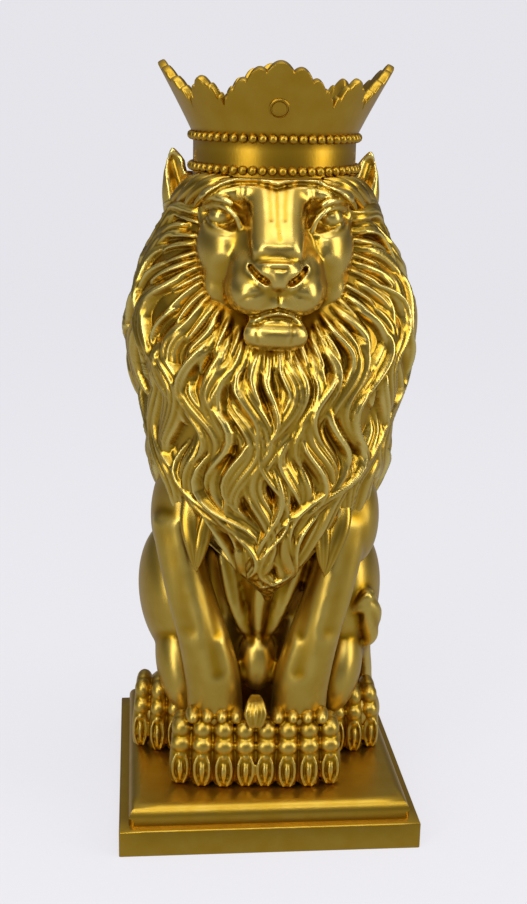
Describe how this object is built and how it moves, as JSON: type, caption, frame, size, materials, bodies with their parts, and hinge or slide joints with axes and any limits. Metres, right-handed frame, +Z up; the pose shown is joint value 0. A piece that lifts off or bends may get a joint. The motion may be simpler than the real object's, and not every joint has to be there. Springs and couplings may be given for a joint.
{
  "type": "seated lion statue",
  "caption": "Seated lion ornament with a flowing mane and an open scalloped crown, on a stepped square plinth.",
  "frame": {"origin": "centre of the plinth's underside", "axes": "+Z up, the lion faces -Y, +X to the lion's left"},
  "size_m": [0.1291, 0.129, 0.3201],
  "materials": {
    "plinth_lacquer": "gold lacquer on cast resin",
    "lion_lacquer": "gold lacquer on cast resin",
    "crown_lacquer": "satin gold lacquer on cast resin"
  },
  "bodies": {
    "root": {"plinth": "plinth_lacquer", "lion": "lion_lacquer", "crown": "crown_lacquer"}
  },
  "joints": []
}
